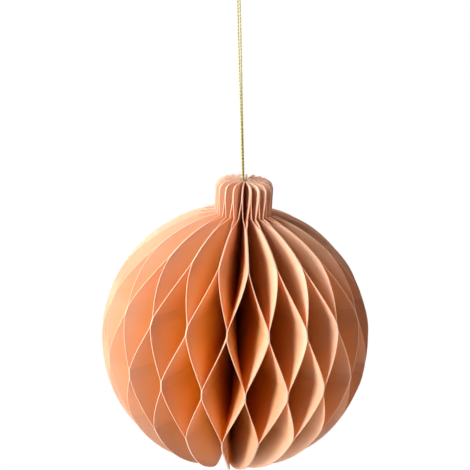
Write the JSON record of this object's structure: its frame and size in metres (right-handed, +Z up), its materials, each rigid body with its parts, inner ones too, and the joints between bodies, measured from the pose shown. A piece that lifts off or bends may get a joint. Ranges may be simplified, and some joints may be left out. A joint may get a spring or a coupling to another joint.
{
  "type": "honeycomb paper ball ornament",
  "caption": "Hanging ball of folded cards, bound at the spine and glued in alternate lines so that their rims open into diamond cells, with a small collar and a doubled cord on top.",
  "frame": {"origin": "middle of the collar's flat top, where the cord comes out of the spine", "axes": "+Z up along the spine; the closing cards face -Y"},
  "size_m": [0.1198, 0.1198, 0.2267],
  "materials": {
    "card": "matte",
    "binding": "matte",
    "cord": "satin"
  },
  "bodies": {
    "root": {"card_01": "card", "card_02": "card", "card_03": "card", "card_04": "card", "card_05": "card", "card_06": "card", "card_07": "card", "card_08": "card", "card_09": "card", "card_10": "card", "card_11": "card", "card_12": "card", "card_13": "card", "card_14": "card", "card_15": "card", "card_16": "card", "card_17": "card", "card_18": "card", "card_19": "card", "card_20": "card", "card_21": "card", "card_22": "card", "card_23": "card", "card_24": "card", "card_25": "card", "card_26": "card", "card_27": "card", "card_28": "card", "card_29": "card", "card_30": "card", "card_31": "card", "card_32": "card", "card_33": "card", "card_34": "card", "card_35": "card", "card_36": "card", "card_37": "card", "card_38": "card", "card_39": "card", "card_40": "card", "spine_binding": "binding", "cord_knot": "cord", "hanging_cord": "cord"}
  },
  "joints": []
}
